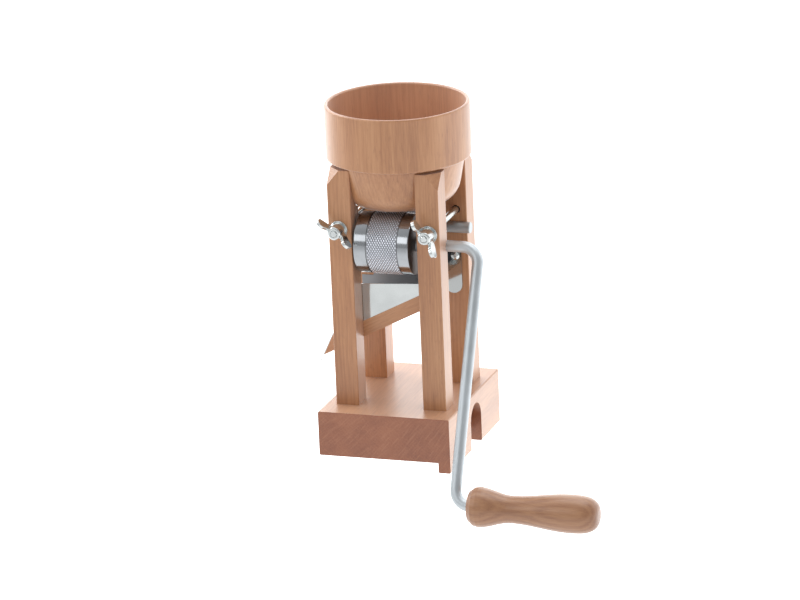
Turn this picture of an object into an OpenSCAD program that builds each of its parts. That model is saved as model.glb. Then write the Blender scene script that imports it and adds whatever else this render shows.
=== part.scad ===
// Hand-cranked grain flaker in beech with two steel rollers.
// All sizes are in millimetres. The origin is the centre of the base's underside,
// which is the face that lies on the table. +X is the crank side, +Y is the back.

/* [Base] */
// Width of the base block, left to right
base_w = 120; // [112:1:160]
// Depth of the base block, front to back
base_d = 144; // [130:1:190]
// Height of the base block
base_h = 40; // [38:1:60]
// Radius of the eased edges along the base
base_edge = 1.2; // [0.4:0.1:3]
// Thickness of the lip that hooks over the table's edge
lip_t = 11; // [8:0.5:14]
// How far the lip reaches below the underside
lip_drop = 9; // [5:0.5:15]
// Width of the channel that takes the arm of the table clamp
channel_w = 29.5; // [20:0.5:34]
// Height of the channel's round top above the underside
channel_top = 30.5; // [26:0.5:33]
// Wood left under the channel, where the clamp presses down
channel_floor = 8; // [6:0.5:10]
// How deep the channel runs in from the right face
channel_depth = 65; // [40:1:80]
// Distance of the channel's middle behind the base's middle
channel_y = 3.8; // [0:0.1:6]

/* [Legs] */
// Side of the square leg stock
leg_stock = 21; // [20:0.5:24]
// Radius of the legs' eased long edges
leg_edge = 0.9; // [0.3:0.1:2]
// Bevel at the outer top corner, measured along the leg's width
bevel_w = 11.5; // [6:0.5:14]
// Bevel at the outer top corner, measured down the leg
bevel_h = 14; // [8:0.5:18]
// Height of the roller axles above the base's top
axle_height = 144; // [136:1:170]

/* [Rollers] */
// Radius of the knurled band on each roller
roller_r = 27.3; // [25:0.1:28.5]
// Step down from the knurled band to the smooth shoulders
shoulder_step = 0.35; // [0.2:0.05:0.8]
// Length of each roller
roller_len = 50; // [48:0.5:56]
// Length of the smooth shoulder left of the knurled band
shoulder_left = 12; // [6:0.5:14]
// Length of the smooth shoulder right of the knurled band
shoulder_right = 10.4; // [6:0.5:14]
// Width of the narrow grooves beside the knurled band
relief_w = 0.9; // [0.5:0.1:1.5]
// Depth of the narrow grooves beside the knurled band
relief_d = 0.8; // [0.4:0.1:1.5]
// Chamfer on the rollers' rims
rim_chamfer = 0.9; // [0.3:0.1:2]
// Gap between the two rollers, where the grain is flattened
nip_gap = 0.6; // [0.4:0.1:1.2]
// Diameter of the crank rod and of the rear axle
axle_d = 10; // [8.5:0.1:10.6]
// How far the axles' middle stands proud of the legs' facing sides
axle_proud = 0.6; // [0.3:0.1:1.2]
// Outer diameter of the spacer rings on the axles
spacer_d = 13; // [12:0.5:19]
// Room for the spacer left of the rollers
spacer_left = 2.5; // [2:0.1:5]
// Room for the spacer right of the rollers
spacer_right = 6.5; // [4:0.1:9]
// How far the rear axle reaches past the right rear leg
axle_reach = 3.6; // [1:0.1:8]
// Diameter of the pins that lock the rollers to their axles
pin_d = 4; // [3:0.1:4.5]

/* [Crank] */
// Distance from the right legs' outer face to the middle of the crank arm
crank_reach = 28.7; // [26:0.1:45]
// Length of the crank arm between the two axes
crank_arm = 223.5; // [190:0.5:245]
// Swing of the arm at rest, forward from straight down
crank_swing = 25.1; // [0:0.1:60]
// Bend radius of the rod's middle line at the axle end
bend_top = 15; // [12:0.5:20]
// Bend radius of the rod's middle line at the grip end
bend_low = 14; // [8:0.5:18]

/* [Grip] */
// Length of the wooden grip
grip_len = 115.5; // [105:0.5:130]
// Diameter of the flare beside the crank arm
grip_flare_d = 35; // [30:0.5:38]
// Diameter of the waist
grip_waist_d = 24; // [22:0.5:28]
// Diameter of the swell for the palm
grip_swell_d = 33.5; // [30:0.5:38]
// Diameter of the end face beside the crank arm
grip_face_d = 27; // [24:0.5:29]
// Fullness of the rounded end; 2 is an ellipse, more is blunter
grip_fullness = 3; // [2:0.1:4]
// Depth of the bore for the crank rod
grip_bore_depth = 90; // [70:1:96]

/* [Hopper] */
// Outer radius of the hopper's collar
collar_r = 63.3; // [60.5:0.1:66]
// Height of the collar
collar_h = 48.2; // [40:0.2:60]
// Radius of the collar's rounded lower edge
collar_edge = 1.8; // [0.8:0.1:8]
// Wall of the collar at its rim
rim_t = 3.4; // [2.8:0.1:4]
// Radius of the lower body just under the collar
body_r = 57.7; // [56.5:0.1:59]
// Height of the lower body
body_h = 41.9; // [38:0.1:48]
// Draft of the lower body's side
body_draft = 11.3; // [8:0.1:13]
// Radius where the lower body turns into its flat bottom
body_round = 22; // [16:0.5:24]
// Length of the outlet slot, along the rollers
outlet_l = 25; // [16:0.5:27]
// Width of the outlet slot, across the rollers
outlet_w = 10; // [8:0.5:14]
// Gap between the rollers' tops and the hopper's bottom
hopper_gap = 2.5; // [2:0.1:5]
// Gap between the legs' tops and the collar
collar_gap = 2.7; // [1.5:0.1:5]

/* [Tie bolts and wing nuts] */
// Diameter of the tie bolts
tie_d = 6; // [5:0.1:6.2]
// Height of the tie bolts above the axles
tie_rise = 16; // [13.5:0.1:17]
// How far the tie bolts sit outside the legs' middle
tie_out = 0.8; // [0:0.1:1.5]
// Diameter of the bolt holes in the legs
tie_hole_d = 7.5; // [7:0.1:8.2]
// Diameter of the bolts' domed heads
bolt_head_d = 14.5; // [13:0.5:17]
// Height of the bolts' domed heads
bolt_head_h = 3.6; // [3:0.1:4.5]
// Diameter of the washers
washer_d = 16; // [14:0.5:18]
// Thickness of the washers
washer_t = 1.5; // [1:0.1:2]
// Diameter of the wing nuts' hub where it meets the washer
nut_hub_d = 13; // [12:0.1:14]
// Height of the wing nuts' hub
nut_hub_h = 12.6; // [8:0.1:14]
// Span of the wing nuts over both ears
nut_span = 37; // [34:0.5:42]
// Height of the wing nuts over the ears
nut_height = 17; // [14.5:0.1:19]
// Radius of the ears' round tips
ear_tip_r = 4.8; // [3:0.1:5.5]
// Thickness of the ears
ear_t = 2.8; // [2:0.1:3.4]
// Turn of the left wing nut at rest
nut_turn_left = 133; // [0:1:180]
// Turn of the right wing nut at rest
nut_turn_right = 113; // [0:1:180]

/* [Chute] */
// Slope of the chute's floor
chute_slope = 26.7; // [24:0.1:30]
// Height of the floor above the base's top, in the middle of the machine
chute_height = 85.9; // [80:0.5:90]
// Thickness of the sheet
sheet_t = 0.8; // [0.6:0.1:1.2]
// Drop from the rollers to the front wall's top edge, at the middle
wall_drop = 10.2; // [7:0.1:14]
// Rise of the front wall's top edge
wall_rise = 3.5; // [0:0.1:6]
// Drop from the rollers to the rear wall's top edge
rear_drop = 4.7; // [3:0.1:8]
// How far the chute reaches past the rollers on the right
chute_past = 6.8; // [4:0.1:8]
// Length of the chute's floor left of the middle
chute_left = 58.3; // [55:0.1:70]
// Length of the lip that turns down at the outlet
spout_len = 28.5; // [20:0.5:32]
// Slope of that lip
spout_slope = 64.4; // [50:0.1:75]
// Width of the tongue on the right rear leg
tongue_w = 16; // [12:0.5:18]
// Drop of the tongue's round end below the rollers' axles
tongue_drop = 60.6; // [50:0.1:70]
// Drop of the tongue's screw below the rollers' axles
tongue_screw_drop = 26.4; // [24:0.1:40]
// Height of the tab on the left rear leg above the chute's floor
tab_rise = 34; // [28:0.5:40]
// Height of the tab's screw above the chute's floor
tab_screw_rise = 22; // [16:0.5:24]
// Depth of the wooden rail under the chute, front to back
rail_t = 8; // [6:0.5:12]
// Height of the wooden rail
rail_h = 14.5; // [12:0.5:20]

/* [Hidden] */
$fn = 96;

// Clearances
running_fit = 0.08;
press_clear = 0.03;
seat_clear = 0.3;
end_play = 0.3;
grip_fit = 0.1;
screw_fit = 0.05;
sheet_clear = 0.15;
cut_past = 1;

// Places that follow from the sizes above
axle_r = axle_d / 2;
axle_y = roller_r + nip_gap / 2;
axle_z = base_h + axle_height;
leg_in_x = (roller_len + spacer_left + spacer_right) / 2;
leg_in_y = axle_y + axle_proud;
leg_x = leg_in_x + leg_stock / 2;
leg_y = leg_in_y + leg_stock / 2;
leg_out_x = leg_in_x + leg_stock;
leg_out_y = leg_in_y + leg_stock;
roller_x0 = spacer_left - leg_in_x;
roller_x1 = roller_x0 + roller_len;
hopper_z = axle_z + roller_r + hopper_gap;
collar_z = hopper_z + body_h;
rim_z = collar_z + collar_h;
leg_top = collar_z - collar_gap;
tie_x = leg_x + tie_out;
tie_z = axle_z + tie_rise;
crank_x = leg_out_x + crank_reach;
grip_x = crank_x + bend_low + end_play;
nut_y = -leg_out_y - washer_t;

// Colours
beech = [0.78, 0.58, 0.43];
beech_dark = [0.70, 0.50, 0.37];
steel = [0.70, 0.71, 0.74];
polished = [0.82, 0.83, 0.85];
zinc = [0.66, 0.69, 0.70];

// Fasteners hidden in the wood
leg_screw_d = 5;
leg_screw_head_d = 10;
leg_screw_len = 78;
leg_screw_sunk = 0.6;
small_screw_d = 4;
small_head_d = 8;
small_head_h = 2.6;
small_screw_len = 20;
neck_side = 6;
neck_depth = 4;

// A rectangle about the origin with rounded corners
module rounded_rect(w, d, r) {
    square([w - 2 * r, d], center = true);
    square([w, d - 2 * r], center = true);
    for (sx = [-1, 1], sy = [-1, 1])
        translate([sx * (w / 2 - r), sy * (d / 2 - r)]) circle(r = r);
}

// A cylinder along X that starts at x0
module rod_x(x0, x1, r) {
    translate([x0, 0, 0]) rotate([0, 90, 0]) cylinder(r = r, h = x1 - x0);
}

// A cylinder along Y that starts at y0
module rod_y(y0, y1, r) {
    translate([0, y0, 0]) rotate([-90, 0, 0]) cylinder(r = r, h = y1 - y0);
}

// A plate whose outline is drawn in X and Z, from y0 to y1
module plate_y(y0, y1) {
    translate([0, y1, 0]) rotate([90, 0, 0]) linear_extrude(y1 - y0) children();
}

// A plate whose outline is drawn in Y and Z, from x0 to x1
module plate_x(x0, x1) {
    translate([x0, 0, 0]) rotate([90, 0, 90]) linear_extrude(x1 - x0) children();
}

// The base: a block with a lip along its right edge and a channel for the clamp
module base_outline() {
    translate([0, base_h / 2]) rounded_rect(base_w, base_h, base_edge);
    translate([base_w / 2 - lip_t / 2, (base_h / 2 - lip_drop) / 2])
        rounded_rect(lip_t, base_h / 2 + lip_drop, base_edge);
}

module channel_outline(z0) {
    arch_z = channel_top - channel_w / 2;
    translate([-channel_w / 2, z0]) square([channel_w, arch_z - z0]);
    translate([0, arch_z]) circle(d = channel_w);
}

module base_block() {
    lip_x = base_w / 2 - lip_t;
    color(beech_dark) difference() {
        plate_y(-base_d / 2, base_d / 2) base_outline();
        translate([0, channel_y, 0]) {
            plate_x(base_w / 2 - channel_depth, base_w / 2 + cut_past) intersection() {
                channel_outline(0);
                translate([-channel_w, channel_floor]) square([2 * channel_w, base_h]);
            }
            plate_x(lip_x, base_w / 2 + cut_past) channel_outline(-lip_drop - cut_past);
        }
        each_leg_place() leg_screw_space(screw_fit);
    }
}

// Runs its children once at each leg's middle
module each_leg_place() {
    for (sx = [-1, 1], sy = [-1, 1]) translate([sx * leg_x, sy * leg_y, 0]) children();
}

// A countersunk wood screw from the underside up into a leg
module leg_screw_space(grow) {
    head_r = leg_screw_head_d / 2 + grow;
    shank_r = leg_screw_d / 2 + grow;
    cone_h = head_r - shank_r;
    translate([0, 0, -cut_past]) cylinder(r = grow > 0 ? head_r : 0.01, h = cut_past + leg_screw_sunk);
    translate([0, 0, leg_screw_sunk]) cylinder(r1 = head_r, r2 = shank_r, h = cone_h);
    translate([0, 0, leg_screw_sunk]) cylinder(r = shank_r, h = leg_screw_len + grow);
}

module leg_screws() {
    head_r = leg_screw_head_d / 2;
    shank_r = leg_screw_d / 2;
    color(zinc) each_leg_place() translate([0, 0, leg_screw_sunk]) {
        cylinder(r1 = head_r, r2 = shank_r, h = head_r - shank_r);
        cylinder(r = shank_r, h = leg_screw_len);
    }
}

// The hopper's outer shape, turned about its own axis; grow makes its seat in the legs
module lower_body_outline(grow) {
    arc_z = hopper_z + body_round;
    tangent_z = arc_z - body_round * sin(body_draft);
    tangent_r = body_r - (collar_z - tangent_z) * tan(body_draft);
    arc_x = tangent_r - body_round * cos(body_draft);
    side = grow / cos(body_draft);
    translate([arc_x, arc_z]) circle(r = body_round + grow);
    translate([0, hopper_z - grow]) square([arc_x, body_round]);
    polygon([[0, tangent_z - grow * sin(body_draft)],
             [tangent_r + grow * cos(body_draft), tangent_z - grow * sin(body_draft)],
             [body_r + side, collar_z], [0, collar_z]]);
}

module hopper_outline() {
    round_r = rim_t / 2;
    difference() {
        lower_body_outline(0);
        translate([0, collar_z]) square([collar_r, collar_h]);
    }
    translate([0, collar_z]) square([collar_r - collar_edge, collar_edge]);
    translate([collar_r - collar_edge, collar_z + collar_edge]) circle(r = collar_edge);
    translate([0, collar_z + collar_edge]) square([collar_r, collar_h - collar_edge - round_r]);
    translate([collar_r - round_r, rim_z - round_r]) circle(r = round_r);
}

// The bowl: straight below the rim, then a funnel down to the outlet
bowl_straight = 34.7;
bottom_t = 5;
module bowl_outline() {
    bowl_r = collar_r - rim_t;
    throat_r = outlet_w / 2 + 1;
    throat_z = hopper_z + bottom_t;
    polygon([[0, throat_z], [throat_r, throat_z], [bowl_r, rim_z - bowl_straight],
             [bowl_r, rim_z + cut_past], [0, rim_z + cut_past]]);
}

module hopper() {
    color(beech) difference() {
        rotate_extrude($fn = 180) intersection() {
            hopper_outline();
            square([2 * collar_r, rim_z + cut_past]);
        }
        rotate_extrude($fn = 180) bowl_outline();
        translate([-outlet_l / 2, -outlet_w / 2, hopper_z - cut_past])
            cube([outlet_l, outlet_w, body_h / 2]);
    }
}

// The legs: square stock with a bevelled outer top corner, a scoop that seats the hopper,
// a half-round groove for the axle and a hole for the tie bolt
module top_bevel() {
    tilt = atan(sqrt(2) * bevel_h / bevel_w);
    size = 4 * leg_stock;
    translate([leg_out_x, leg_out_y, leg_top - bevel_h]) rotate([0, tilt, 45])
        translate([-size / 2, -size / 2, 0]) cube(size);
}

module corner_leg() {
    difference() {
        translate([leg_x, leg_y, base_h]) linear_extrude(leg_top - base_h)
            rounded_rect(leg_stock, leg_stock, leg_edge);
        top_bevel();
        rotate_extrude($fn = 180) intersection() {
            lower_body_outline(seat_clear);
            translate([0, hopper_z - 2 * seat_clear]) square([2 * collar_r, 2 * body_h]);
        }
        translate([0, axle_y, axle_z])
            rod_x(leg_in_x - cut_past, leg_out_x + cut_past, axle_r + running_fit);
        translate([tie_x, 0, tie_z])
            rod_y(leg_in_y - cut_past, leg_out_y + cut_past, tie_hole_d / 2);
        translate([leg_x, leg_y, 0]) leg_screw_space(screw_fit);
    }
}

module leg_front_right() {
    color(beech) difference() {
        mirror([0, 1, 0]) corner_leg();
        rail_screw_holes();
    }
}

module leg_front_left() {
    color(beech) difference() {
        mirror([1, 0, 0]) mirror([0, 1, 0]) corner_leg();
        rail_screw_holes();
    }
}

module neck_recess() {
    side = neck_side + 2 * running_fit;
    translate([tie_x - side / 2, leg_out_y - neck_depth - end_play, tie_z - side / 2])
        cube([side, neck_depth + end_play + cut_past, side]);
}

module leg_rear_right() {
    color(beech_dark) difference() {
        corner_leg();
        neck_recess();
        chute_screw_holes();
    }
}

module leg_rear_left() {
    color(beech_dark) difference() {
        mirror([1, 0, 0]) difference() {
            corner_leg();
            neck_recess();
        }
        chute_screw_holes();
    }
}

// The rollers: a knurled band between two smooth shoulders
module roller_outline() {
    shoulder_r = roller_r - shoulder_step;
    a = shoulder_left;
    b = roller_len - shoulder_right;
    polygon([[axle_r + press_clear, 0], [shoulder_r - rim_chamfer, 0], [shoulder_r, rim_chamfer],
             [shoulder_r, a - relief_w], [shoulder_r - relief_d, a - relief_w],
             [shoulder_r - relief_d, a], [roller_r, a], [roller_r, b], [shoulder_r - relief_d, b],
             [shoulder_r - relief_d, b + relief_w], [shoulder_r, b + relief_w],
             [shoulder_r, roller_len - rim_chamfer], [shoulder_r - rim_chamfer, roller_len],
             [axle_r + press_clear, roller_len]]);
}

module roller() {
    difference() {
        translate([roller_x0, 0, 0]) rotate([0, 90, 0]) rotate_extrude($fn = 180) roller_outline();
        roller_pin(press_clear);
    }
}

// The locking pin runs from the left shoulder in through the axle
pin_past = 2;
pin_sunk = 1;
module roller_pin(grow) {
    pin_x = roller_x0 + shoulder_left / 2;
    inner = -axle_r - pin_past - grow;
    outer = grow > 0 ? roller_r + cut_past : roller_r - shoulder_step - pin_sunk;
    translate([pin_x, 0, inner]) cylinder(d = pin_d + 2 * grow, h = outer - inner);
}

// Places something on the front or rear axle; the pin there points away from view
pin_turn_front = 150;
pin_turn_rear = -150;
module at_front_axle() {
    translate([0, -axle_y, axle_z]) children();
}

module at_rear_axle() {
    translate([0, axle_y, axle_z]) children();
}

module front_roller() {
    color(polished) at_front_axle() rotate([-pin_turn_front, 0, 0]) roller();
}

module rear_roller() {
    color(polished) at_rear_axle() rotate([pin_turn_rear, 0, 0]) roller();
}

module front_roller_pin() {
    color(steel) at_front_axle() rotate([-pin_turn_front, 0, 0]) roller_pin(0);
}

module rear_roller_pin() {
    color(steel) at_rear_axle() rotate([pin_turn_rear, 0, 0]) roller_pin(0);
}

// Spacer rings keep the rollers clear of the legs
module spacer(x0, x1) {
    difference() {
        rod_x(x0, x1, spacer_d / 2);
        rod_x(x0 - cut_past, x1 + cut_past, axle_r + running_fit);
    }
}

module spacer_pair() {
    spacer(-leg_in_x + end_play, roller_x0 - press_clear);
    spacer(roller_x1 + press_clear, leg_in_x - end_play);
}

module front_spacers() {
    color(steel) at_front_axle() spacer_pair();
}

module rear_spacers() {
    color(steel) at_rear_axle() spacer_pair();
}

// The crank: one rod, bent twice, whose long end is the front axle
axle_inset = 0.5;
spindle_end = grip_x + grip_bore_depth - 3;
ring_inset = 8;
ring_x = spindle_end - ring_inset;
ring_t = 1.6;
ring_groove_d = axle_d - 1.6;
ring_proud = 1.2;
ring_slot = 2;

module bend(radius, start) {
    rotate([90, 0, 0]) rotate([0, 0, start]) rotate_extrude(angle = 90)
        translate([radius, 0]) circle(r = axle_r);
}

module crank_shape() {
    rod_x(axle_inset - leg_out_x, crank_x - bend_top, axle_r);
    translate([crank_x - bend_top, 0, -bend_top]) bend(bend_top, 0);
    translate([crank_x, 0, bend_low - crank_arm])
        cylinder(r = axle_r, h = crank_arm - bend_low - bend_top);
    translate([crank_x + bend_low, 0, bend_low - crank_arm]) bend(bend_low, 180);
    translate([0, 0, -crank_arm]) rod_x(crank_x + bend_low, spindle_end, axle_r);
}

module crank_rod() {
    color(steel) at_front_axle() difference() {
        rotate([-crank_swing, 0, 0]) difference() {
            crank_shape();
            translate([0, 0, -crank_arm]) difference() {
                rod_x(ring_x - running_fit, ring_x + ring_t + running_fit, axle_d);
                rod_x(ring_x - cut_past, ring_x + ring_t + cut_past, ring_groove_d / 2);
            }
        }
        rotate([-pin_turn_front, 0, 0]) roller_pin(press_clear);
    }
}

module rear_axle() {
    end_chamfer = 0.6;
    x0 = axle_inset - leg_out_x;
    x1 = leg_out_x + axle_reach;
    color(steel) at_rear_axle() difference() {
        translate([x0, 0, 0]) rotate([0, 90, 0]) {
            cylinder(r = axle_r, h = x1 - x0 - end_chamfer);
            translate([0, 0, x1 - x0 - end_chamfer])
                cylinder(r1 = axle_r, r2 = axle_r - end_chamfer, h = end_chamfer);
        }
        rotate([pin_turn_rear, 0, 0]) roller_pin(press_clear);
    }
}

// The grip: turned, with a flare, a waist and a swell, loose on the crank's end
flare_at = 8;
waist_at = 37;
swell_at = 90;
function ease(t) = (1 - cos(180 * t)) / 2;
function blend(a, b, t) = a + (b - a) * ease(t);
function dome(t) = pow(1 - pow(t, grip_fullness), 1 / grip_fullness);
function grip_r(s) =
    s < flare_at ? grip_flare_d / 2 - (grip_flare_d - grip_face_d) / 2 * pow(1 - s / flare_at, 2.2)
    : s < waist_at ? blend(grip_flare_d / 2, grip_waist_d / 2, (s - flare_at) / (waist_at - flare_at))
    : s < swell_at ? blend(grip_waist_d / 2, grip_swell_d / 2, (s - waist_at) / (swell_at - waist_at))
    : grip_swell_d / 2 * dome((s - swell_at) / (grip_len - swell_at));

module grip_outline() {
    steps = 44;
    ring_r = axle_r + ring_proud + end_play;
    bore_r = axle_r + grip_fit;
    difference() {
        polygon(concat([[0, 0]], [for (i = [0:steps]) let (s = grip_len * (1 - pow(1 - i / steps, 1.6)))
                                  [max(0, grip_r(s)), s]]));
        translate([-cut_past, -cut_past]) square([bore_r + cut_past, grip_bore_depth + cut_past]);
        translate([0, ring_x - grip_x - end_play]) square([ring_r, ring_t + 2 * end_play]);
    }
}

module at_grip() {
    at_front_axle() rotate([-crank_swing, 0, 0]) translate([0, 0, -crank_arm]) children();
}

module grip() {
    color(beech) at_grip() translate([grip_x, 0, 0]) rotate([0, 90, 0]) rotate_extrude() grip_outline();
}

// A snap ring holds the grip on the rod
module grip_ring() {
    color(steel) at_grip() difference() {
        rod_x(ring_x, ring_x + ring_t, axle_r + ring_proud);
        rod_x(ring_x - cut_past, ring_x + ring_t + cut_past, ring_groove_d / 2 + press_clear);
        translate([ring_x - cut_past, -ring_slot / 2, 0]) cube([ring_t + 2 * cut_past, ring_slot, axle_d]);
    }
}

// Tie bolts run from domed heads behind the rear legs to the wing nuts in front
bolt_proud = 1;
bolt_end = nut_y - nut_hub_h - bolt_proud;

module tie_bolt() {
    dome_r = (pow(bolt_head_d / 2, 2) + pow(bolt_head_h, 2)) / (2 * bolt_head_h);
    end_chamfer = 0.7;
    translate([tie_x, 0, tie_z]) {
        rod_y(bolt_end + end_chamfer, leg_out_y, tie_d / 2);
        translate([0, bolt_end + end_chamfer, 0]) rotate([90, 0, 0])
            cylinder(r1 = tie_d / 2, r2 = tie_d / 2 - end_chamfer, h = end_chamfer);
        translate([-neck_side / 2, leg_out_y - neck_depth, -neck_side / 2])
            cube([neck_side, neck_depth, neck_side]);
        translate([0, leg_out_y, 0]) rotate([-90, 0, 0]) intersection() {
            translate([0, 0, bolt_head_h - dome_r]) sphere(r = dome_r);
            cylinder(d = bolt_head_d, h = bolt_head_h);
        }
    }
}

module tie_bolt_right() {
    color(zinc) tie_bolt();
}

module tie_bolt_left() {
    color(zinc) mirror([1, 0, 0]) tie_bolt();
}

// A washer on the front face of a front leg
module washer(side) {
    translate([side * tie_x, 0, tie_z]) difference() {
        rod_y(nut_y, -leg_out_y, washer_d / 2);
        rod_y(nut_y - cut_past, cut_past - leg_out_y, tie_d / 2 + running_fit);
    }
}

module washer_left() {
    color(zinc) washer(-1);
}

module washer_right() {
    color(zinc) washer(1);
}

// The wing nuts: a tapered hub and two ears that leave it on opposite flanks
ear_offset = 2.4;
ear_foot = 3.4;
ear_low = 2.5;
ear_high = 0.9;
hub_taper = 0.8;
hub_crown = 1;

// An ear's flank: from the hub it widens to a round tip; x runs out from the axis, y along it
module ear_outline() {
    low_angle = -52;
    high_angle = 118;
    hub_r = nut_hub_d / 2;
    neck_z = nut_hub_h - hub_crown - ear_high;
    tip = [nut_span / 2 - ear_tip_r, nut_height - ear_tip_r];
    function on_tip(angle) = tip + ear_tip_r * [cos(angle), sin(angle)];
    polygon([[ear_foot, ear_low], [hub_r, ear_low], on_tip(low_angle),
             on_tip(high_angle), [hub_r, neck_z], [ear_foot, neck_z]]);
    translate(tip) circle(r = ear_tip_r);
}

module wing_nut(turn) {
    top_d = nut_hub_d - 2 * hub_taper;
    crown = hub_crown;
    difference() {
        union() {
            cylinder(d1 = nut_hub_d, d2 = top_d, h = nut_hub_h - crown);
            translate([0, 0, nut_hub_h - crown]) cylinder(d1 = top_d, d2 = top_d - 2 * crown, h = crown);
            for (flip = [0, 180]) rotate([0, 0, turn + flip])
                translate([0, ear_offset + ear_t / 2, 0]) rotate([90, 0, 0])
                    linear_extrude(ear_t) ear_outline();
        }
        translate([0, 0, -cut_past]) cylinder(d = tie_d + 2 * running_fit, h = nut_height + 2 * cut_past);
    }
}

module at_nut(side) {
    translate([side * tie_x, nut_y - press_clear, tie_z]) rotate([90, 0, 0]) children();
}

module wing_nut_left() {
    color(zinc) at_nut(-1) wing_nut(nut_turn_left);
}

module wing_nut_right() {
    color(zinc) at_nut(1) wing_nut(nut_turn_right);
}

// The chute: a folded sheet whose floor lies on the wooden rail and runs down to the left
floor_z = base_h + chute_height;
under_rollers = axle_z - roller_r;
chute_right = roller_x1 + chute_past;
chute_y = leg_in_y - sheet_clear;
tongue_inset = 1.5;
tongue_x = chute_right + tongue_w / 2 - tongue_inset;
tongue_top = axle_z - 16;
tongue_low = axle_z - tongue_drop;
tab_inset = 2;
tab_x0 = tab_inset - leg_out_x;
tab_w = 8.5;
tab_foot = 6;
wall_inset = 4;
wall_x0 = wall_inset - chute_left;
wall_foot = 4;
end_top = under_rollers - wall_drop + wall_rise / 2;
function floor_at(x) = floor_z + x * tan(chute_slope);
function mid_sheet(x) = floor_at(x) + sheet_t / 2;
tab_top = floor_at(tab_x0) + tab_rise;
bend_point = [-chute_left, floor_at(-chute_left)];
spout_tip = bend_point - spout_len * [cos(spout_slope), sin(spout_slope)];

// The folded sheet in the side view: lip, sloping floor and the end that turns up
module floor_outline() {
    half_bend = (spout_slope - chute_slope) / 2;
    mid_slope = (spout_slope + chute_slope) / 2;
    bend_top_point = bend_point + sheet_t / cos(half_bend) * [-sin(mid_slope), cos(mid_slope)];
    tip_top_point = spout_tip + sheet_t * [-sin(spout_slope), cos(spout_slope)];
    rise = sheet_t / cos(chute_slope);
    inner_x = chute_right - sheet_t;
    polygon([spout_tip, bend_point, [chute_right, floor_at(chute_right)],
             [chute_right, end_top], [inner_x, end_top], [inner_x, floor_at(inner_x) + rise],
             bend_top_point, tip_top_point]);
}

module front_wall_outline() {
    knee_x = -leg_in_x - wall_inset;
    polygon([[wall_x0, mid_sheet(wall_x0)], [chute_right, mid_sheet(chute_right)],
             [chute_right, end_top], [knee_x, end_top - wall_rise],
             [wall_x0, floor_at(wall_x0) + wall_foot]]);
}

module rear_wall_outline() {
    top = under_rollers - rear_drop;
    step_x = roller_x0 - 5;
    slant = 2;
    polygon([[wall_x0, mid_sheet(wall_x0)], [chute_right, mid_sheet(chute_right)],
             [chute_right, top], [step_x, top], [tab_x0 + tab_w + slant, tab_top], [tab_x0, tab_top],
             [tab_x0, floor_at(tab_x0) + tab_foot], [wall_x0, floor_at(wall_x0) + wall_foot]]);
    translate([tongue_x, tongue_low + tongue_w / 2]) circle(d = tongue_w);
    translate([tongue_x - tongue_w / 2, tongue_low + tongue_w / 2])
        square([tongue_w, tongue_top - tongue_low - tongue_w / 2]);
}

module chute() {
    color(polished) difference() {
        union() {
            plate_y(-chute_y, chute_y) floor_outline();
            plate_y(-chute_y, sheet_t - chute_y) front_wall_outline();
            plate_y(chute_y - sheet_t, chute_y) rear_wall_outline();
        }
        for (place = chute_screw_places) translate([place[0], 0, place[1]])
            rod_y(chute_y - 2 * sheet_t, chute_y + cut_past, small_screw_d / 2 + screw_fit);
    }
}

// The rail: a sloping strip of wood behind the front legs, with its lower end cut steeply
rail_inset = 4;
module chute_rail() {
    end_x = -chute_left - rail_h * cos(chute_slope) / sin(spout_slope - chute_slope) * cos(spout_slope);
    right_x = leg_out_x - rail_inset;
    gap = press_clear;
    color(beech) difference() {
        plate_y(-leg_in_y, rail_t - leg_in_y) polygon([
            [-chute_left, floor_at(-chute_left) - gap], [end_x, floor_at(end_x) - rail_h],
            [right_x, floor_at(right_x) - rail_h], [right_x, floor_at(right_x) - gap]]);
        rail_screw_holes();
    }
}

// Small countersunk screws hold the rail to the front legs
module rail_screw(grow) {
    head_r = small_head_d / 2 + grow;
    shank_r = small_screw_d / 2 + grow;
    cone_h = head_r - shank_r;
    for (side = [-1, 1]) translate([side * leg_x, rail_t - leg_in_y, floor_at(side * leg_x) - rail_h / 2])
        rotate([90, 0, 0]) {
            cylinder(r1 = head_r, r2 = shank_r, h = cone_h);
            cylinder(r = shank_r, h = small_screw_len + grow);
            if (grow > 0) translate([0, 0, -cut_past]) cylinder(r = head_r, h = cut_past);
        }
}

module rail_screw_holes() {
    rail_screw(screw_fit);
}

module rail_screws() {
    color(zinc) rail_screw(0);
}

// Pan-head screws hold the chute's tongue and tab to the rear legs
tongue_screw_out = 2.5;
tab_screw_out = 1.5;
tongue_screw = [tongue_x + tongue_screw_out, axle_z - tongue_screw_drop];
tab_screw = [tab_x0 + tab_w / 2 + tab_screw_out, floor_at(tab_x0) + tab_screw_rise];
chute_screw_places = [tongue_screw, tab_screw];

module chute_screw_holes() {
    for (place = chute_screw_places) translate([place[0], 0, place[1]])
        rod_y(leg_in_y - cut_past, leg_in_y + small_screw_len - small_head_h, small_screw_d / 2 + screw_fit);
}

module chute_screws() {
    head_y = chute_y - sheet_t;
    dome_r = (pow(small_head_d / 2, 2) + pow(small_head_h, 2)) / (2 * small_head_h);
    color(zinc) for (place = chute_screw_places) translate([place[0], head_y, place[1]]) {
        rod_y(0, small_screw_len - small_head_h, small_screw_d / 2);
        rotate([90, 0, 0]) intersection() {
            translate([0, 0, small_head_h - dome_r]) sphere(r = dome_r);
            cylinder(d = small_head_d, h = small_head_h);
        }
    }
}

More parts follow.
